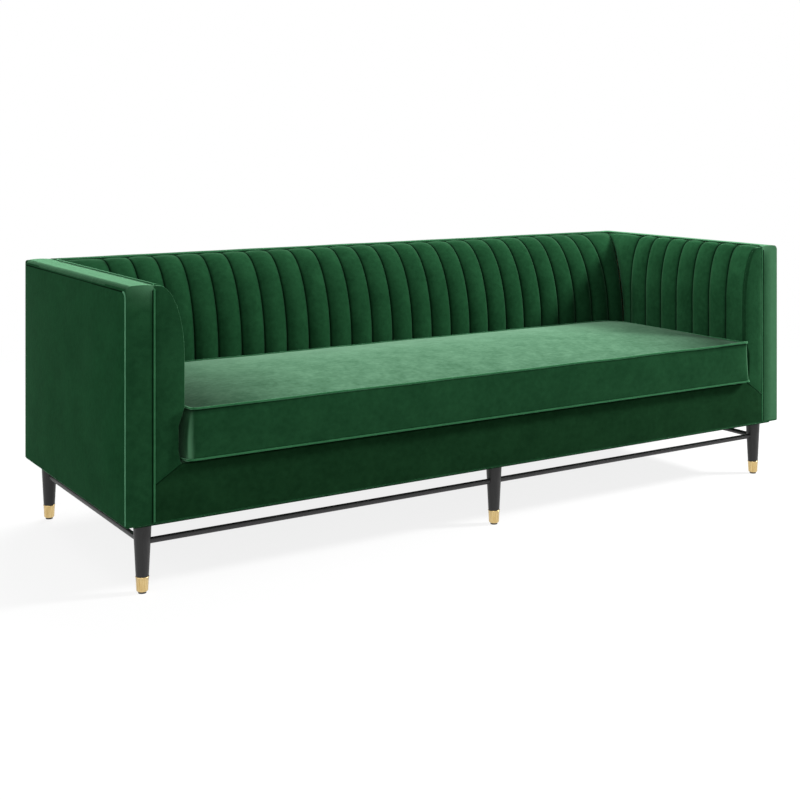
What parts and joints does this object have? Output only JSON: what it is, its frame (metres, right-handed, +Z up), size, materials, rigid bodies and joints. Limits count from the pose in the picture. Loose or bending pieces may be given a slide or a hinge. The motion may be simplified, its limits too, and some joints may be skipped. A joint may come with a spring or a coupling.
{
  "type": "channel tufted sofa",
  "caption": "Low box sofa with vertical channel tufting inside the arms and back, one loose bench cushion, and tapered black legs with brass caps joined by stretcher rods.",
  "frame": {"origin": "on the floor, below the middle of the sofa's box", "axes": "+X along the sofa's length to a viewer's right, +Y from its front to its back, +Z up"},
  "size_m": [2.235, 0.8248, 0.75],
  "materials": {
    "velvet": "matte",
    "wrapped_plank": "matte",
    "black_wood": "satin",
    "black_metal": "satin",
    "brass": "satin",
    "insert_brass": "satin",
    "glide_plastic": "matte",
    "steel": "satin",
    "frame_wood": "matte",
    "foam": "matte",
    "deck_felt": "matte",
    "dust_cloth": "matte",
    "zip": "matte"
  },
  "bodies": {
    "sofa": {"back_cover": "velvet", "back_lining": "frame_wood", "back_pad": "velvet", "back_studs": "frame_wood", "back_top_rail": "frame_wood", "base_plank_back": "wrapped_plank", "base_plank_front": "wrapped_plank", "block_screws": "steel", "cap_back_centre": "brass", "cap_back_left": "brass", "cap_back_right": "brass", "cap_front_centre": "brass", "cap_front_left": "brass", "cap_front_right": "brass", "deck_pad": "deck_felt", "dust_cover": "dust_cloth", "floor_glides": "glide_plastic", "front_apron": "velvet", "left_arm_cover": "velvet", "left_arm_facing": "velvet", "left_arm_front_post": "frame_wood", "left_arm_lining": "frame_wood", "left_arm_pad": "velvet", "left_arm_rear_post": "frame_wood", "left_arm_top_rail": "frame_wood", "left_base_plank": "wrapped_plank", "left_seat_rail": "frame_wood", "leg_back_centre": "black_wood", "leg_back_left": "black_wood", "leg_back_right": "black_wood", "leg_blocks": "frame_wood", "leg_bolts": "steel", "leg_front_centre": "black_wood", "leg_front_left": "black_wood", "leg_front_right": "black_wood", "leg_inserts": "insert_brass", "right_arm_cover": "velvet", "right_arm_facing": "velvet", "right_arm_front_post": "frame_wood", "right_arm_lining": "frame_wood", "right_arm_pad": "velvet", "right_arm_rear_post": "frame_wood", "right_arm_top_rail": "frame_wood", "right_base_plank": "wrapped_plank", "right_seat_rail": "frame_wood", "seat_rail_back": "frame_wood", "seat_rail_centre": "frame_wood", "seat_rail_front": "frame_wood", "seat_springs": "steel", "spring_clips": "steel", "stretcher_back_left": "black_metal", "stretcher_back_right": "black_metal", "stretcher_front_left": "black_metal", "stretcher_front_right": "black_metal", "stretcher_left_side": "black_metal", "stretcher_right_side": "black_metal"},
    "cushion": {"seat_cushion_core": "foam", "seat_cushion_cover": "velvet", "seat_cushion_zip": "zip"}
  },
  "joints": [
    {"name": "cushion_lift", "type": "slide", "parent": "sofa", "child": "cushion", "axis": [0, 0, 1], "range_m": [0, 0.45]}
  ]
}
